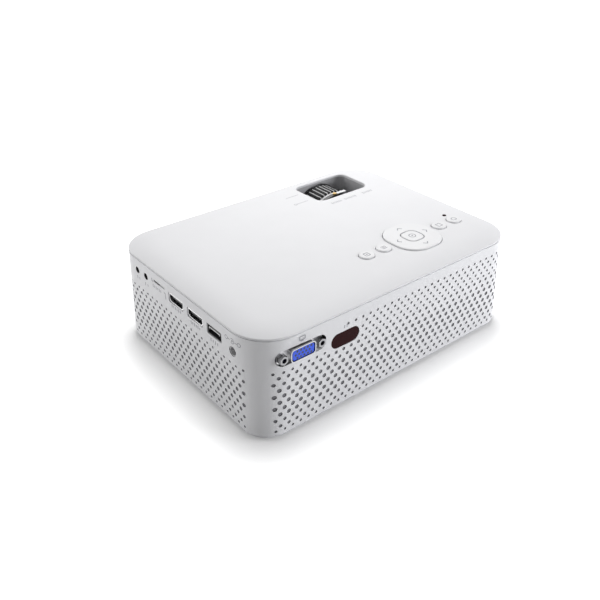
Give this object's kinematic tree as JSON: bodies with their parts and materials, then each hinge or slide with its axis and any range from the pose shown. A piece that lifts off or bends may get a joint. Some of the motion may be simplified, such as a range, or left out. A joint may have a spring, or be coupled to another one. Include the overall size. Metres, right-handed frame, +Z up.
{
  "type": "projector with disc drive",
  "caption": "Compact desktop projector in a perforated white case, with a slim tray-loading disc drive, a focus ring under a top window, top keys and side ports.",
  "frame": {"origin": "middle of the footprint, on the surface it stands on", "axes": "+Z up; +Y towards the rear wall with the video inlet; +X towards the wall with the side ports; the lens looks along -Y"},
  "size_m": [0.2, 0.1504, 0.0663],
  "materials": {
    "white_plastic": "matte",
    "key_plastic": "satin",
    "grey_plastic": "matte",
    "black_plastic": "satin",
    "black_rubber": "satin",
    "rubber": "matte",
    "blue_plastic": "satin",
    "dark_window": "gloss",
    "circuit_board": "satin",
    "steel": "satin",
    "bright_steel": "bright",
    "aluminium": "satin",
    "brass": "satin",
    "clear_glass": "clear",
    "panel_glass": "gloss",
    "mirror": "mirror"
  },
  "bodies": {
    "case": {"base_shell": "white_plastic", "rear_grille": "white_plastic", "port_grille": "white_plastic", "left_grille": "white_plastic", "front_panel": "white_plastic", "top_cover": "white_plastic", "focus_well": "grey_plastic", "lens_bezel": "grey_plastic", "rubber_feet": "rubber", "tripod_insert": "brass", "case_screws": "steel", "main_board": "circuit_board", "vga_shell": "bright_steel", "vga_insulator": "blue_plastic", "vga_standoffs": "steel", "ir_window": "dark_window", "dc_jack": "grey_plastic", "usb_socket": "bright_steel", "hdmi_sockets": "bright_steel", "socket_tongues": "black_plastic", "card_reader": "black_plastic", "audio_jacks": "black_plastic", "engine_housing": "black_plastic", "led_board": "circuit_board", "led_heatsink": "aluminium", "engine_lenses": "clear_glass", "lcd_panel": "panel_glass", "fold_mirror": "mirror", "lens_mount": "black_plastic", "stop_plate": "bright_steel", "mount_screws": "brass", "speaker": "black_plastic", "led_fan_frame": "black_plastic", "exhaust_fan_frame": "black_plastic", "drive_chassis": "steel", "drive_lid": "steel", "key_board": "circuit_board", "key_switches": "black_plastic", "status_led": "dark_window"},
    "focus": {"focus_ring": "black_rubber"},
    "lens": {"lens_barrel": "black_plastic", "lens_elements": "clear_glass"},
    "led_fan": {"led_fan_rotor": "black_plastic"},
    "exhaust_fan": {"exhaust_fan_rotor": "black_plastic"},
    "home_key": {"home_button": "key_plastic"},
    "menu_key": {"menu_button": "key_plastic"},
    "back_key": {"back_button": "key_plastic"},
    "power_key": {"power_button": "key_plastic"},
    "ok_key": {"ok_button": "key_plastic"},
    "pad_pivot": {"nav_pivot": "grey_plastic"},
    "pad": {"nav_pad": "key_plastic"},
    "tray": {"disc_tray": "black_plastic", "tray_bezel": "white_plastic", "motor_base": "steel"},
    "rails": {"tray_rails": "steel"},
    "eject_key": {"eject_button": "key_plastic"},
    "spindle": {"spindle_hub": "black_plastic"},
    "sled": {"pickup_sled": "black_plastic"},
    "feed_screw": {"lead_screw": "steel"},
    "leg": {"tilt_leg": "rubber"}
  },
  "joints": [
    {"name": "focus_ring_turn", "type": "hinge", "parent": "case", "child": "focus", "pos_m": [-0.05525, -0.0494, 0.0396], "axis": [0, 1, 0], "range_deg": [-40, 40]},
    {"name": "lens_slide", "type": "slide", "parent": "case", "child": "lens", "axis": [0, 1, 0], "range_m": [-0.0021, 0.0021]},
    {"name": "led_fan_spin", "type": "hinge", "parent": "case", "child": "led_fan", "pos_m": [0.054, 0.015, 0.0396], "axis": [1, 0, 0], "continuous": true},
    {"name": "exhaust_fan_spin", "type": "hinge", "parent": "case", "child": "exhaust_fan", "pos_m": [-0.0975, 0.025, 0.0292], "axis": [1, 0, 0], "continuous": true},
    {"name": "home_key_press", "type": "slide", "parent": "case", "child": "home_key", "axis": [0, 0, 1], "range_m": [-0.0005, 0], "stiffness_N_per_m": 500, "springref_m": 0.0003},
    {"name": "menu_key_press", "type": "slide", "parent": "case", "child": "menu_key", "axis": [0, 0, 1], "range_m": [-0.0005, 0], "stiffness_N_per_m": 500, "springref_m": 0.0003},
    {"name": "back_key_press", "type": "slide", "parent": "case", "child": "back_key", "axis": [0, 0, 1], "range_m": [-0.0005, 0], "stiffness_N_per_m": 500, "springref_m": 0.0003},
    {"name": "power_key_press", "type": "slide", "parent": "case", "child": "power_key", "axis": [0, 0, 1], "range_m": [-0.0005, 0], "stiffness_N_per_m": 500, "springref_m": 0.0003},
    {"name": "ok_key_press", "type": "slide", "parent": "case", "child": "ok_key", "axis": [0, 0, 1], "range_m": [-0.0005, 0], "stiffness_N_per_m": 500, "springref_m": 0.0003},
    {"name": "pad_rock_front_rear", "type": "hinge", "parent": "case", "child": "pad_pivot", "pos_m": [-0.043, 0.0391, 0.0619], "axis": [1, 0, 0], "range_deg": [-1.2, 1.2], "stiffness_Nm_per_rad": 0.3},
    {"name": "pad_rock_left_right", "type": "hinge", "parent": "pad_pivot", "child": "pad", "pos_m": [-0.043, 0.0391, 0.0629], "axis": [0, 1, 0], "range_deg": [-1.2, 1.2], "stiffness_Nm_per_rad": 0.3},
    {"name": "tray_slide", "type": "slide", "parent": "case", "child": "tray", "axis": [0, -1, 0], "range_m": [0, 0.125]},
    {"name": "tray_rail_slide", "type": "slide", "parent": "case", "child": "rails", "axis": [0, -1, 0], "range_m": [0, 0.0625]},
    {"name": "eject_press", "type": "slide", "parent": "tray", "child": "eject_key", "axis": [0, 1, 0], "range_m": [0, 0.0006], "stiffness_N_per_m": 400, "springref_m": -0.0003},
    {"name": "disc_spindle_spin", "type": "hinge", "parent": "tray", "child": "spindle", "pos_m": [0.017, -0.0091, 0.0064], "axis": [0, 0, 1], "continuous": true},
    {"name": "pickup_slide", "type": "slide", "parent": "tray", "child": "sled", "axis": [0, -1, 0], "range_m": [0, 0.029]},
    {"name": "feed_screw_turn", "type": "hinge", "parent": "tray", "child": "feed_screw", "pos_m": [0.0312, -0.045, 0.0084], "axis": [0, 1, 0], "range_deg": [-3500, 3500]},
    {"name": "leg_screw_out", "type": "slide", "parent": "case", "child": "leg", "axis": [0, 0, -1], "range_m": [0, 0.01]}
  ],
  "couplings": [
    {"joint": "lens_slide", "follows": "focus_ring_turn", "m_per_rad": 0.0028648},
    {"joint": "tray_rail_slide", "follows": "tray_slide", "ratio": 0.5},
    {"joint": "feed_screw_turn", "follows": "pickup_slide", "rad_per_m": 2094.4}
  ]
}
